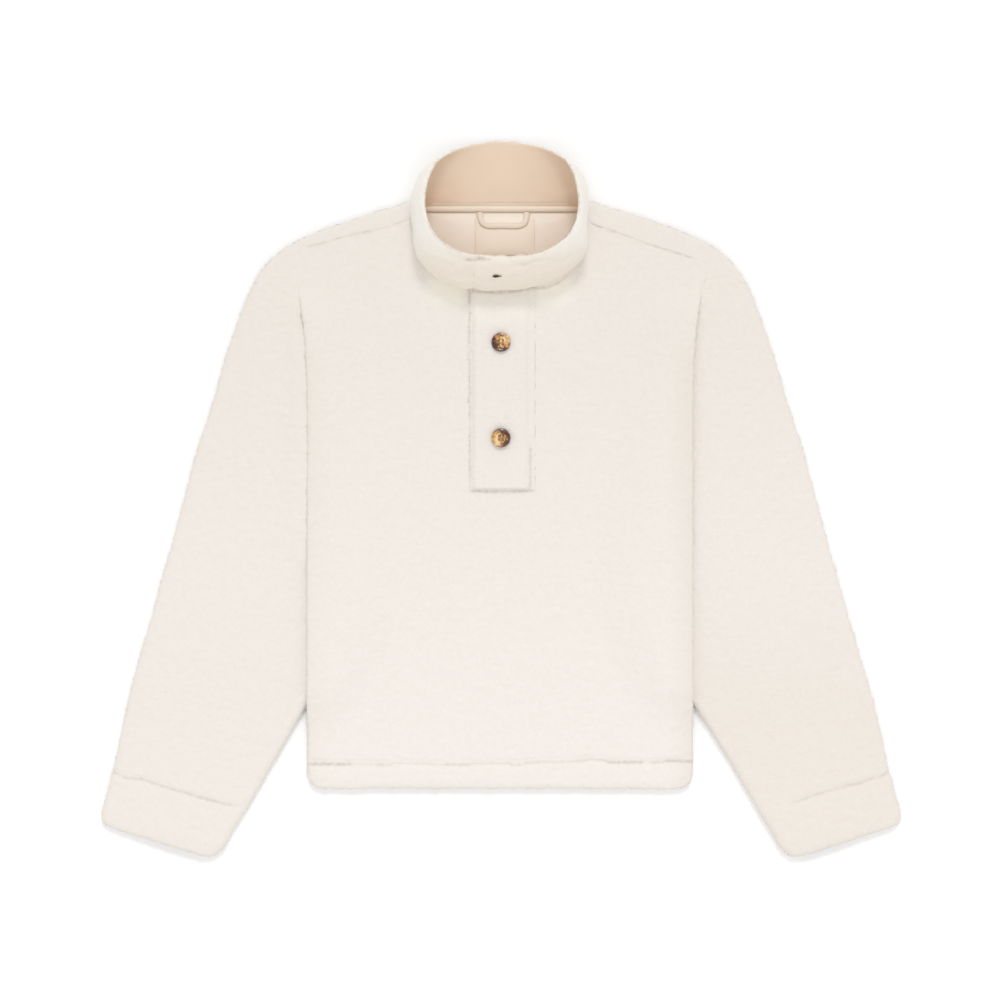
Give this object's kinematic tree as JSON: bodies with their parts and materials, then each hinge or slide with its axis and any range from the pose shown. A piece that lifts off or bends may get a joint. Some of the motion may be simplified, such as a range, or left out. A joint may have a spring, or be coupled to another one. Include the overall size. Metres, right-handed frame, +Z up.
{
  "type": "sherpa fleece pullover",
  "caption": "Boxy sherpa fleece pullover laid flat, with a stand-up collar, a buttoned half placket, dropped shoulders and turned cuffs.",
  "frame": {"origin": "middle of the garment's outline seen from above, on the surface it lies on", "axes": "+X across the garment towards the viewer's right, +Y from the hem to the collar, +Z up off the surface"},
  "size_m": [0.8372, 0.751, 0.0623],
  "materials": {
    "fleece": "cream sherpa fleece, deep matt pile",
    "jersey": "smooth peach jersey",
    "tape": "pale peach woven tape",
    "button": "polished tortoiseshell"
  },
  "bodies": {
    "root": {"front_panel": "fleece", "back_panel": "fleece", "sleeve_left": "fleece", "sleeve_right": "fleece", "collar_outer": "fleece", "collar_lining": "jersey", "placket_under": "fleece", "placket_over": "fleece", "neck_facing": "jersey", "neck_tape": "tape", "neck_label": "tape", "hanger_loop": "tape", "button_upper": "button", "button_lower": "button"}
  },
  "joints": []
}
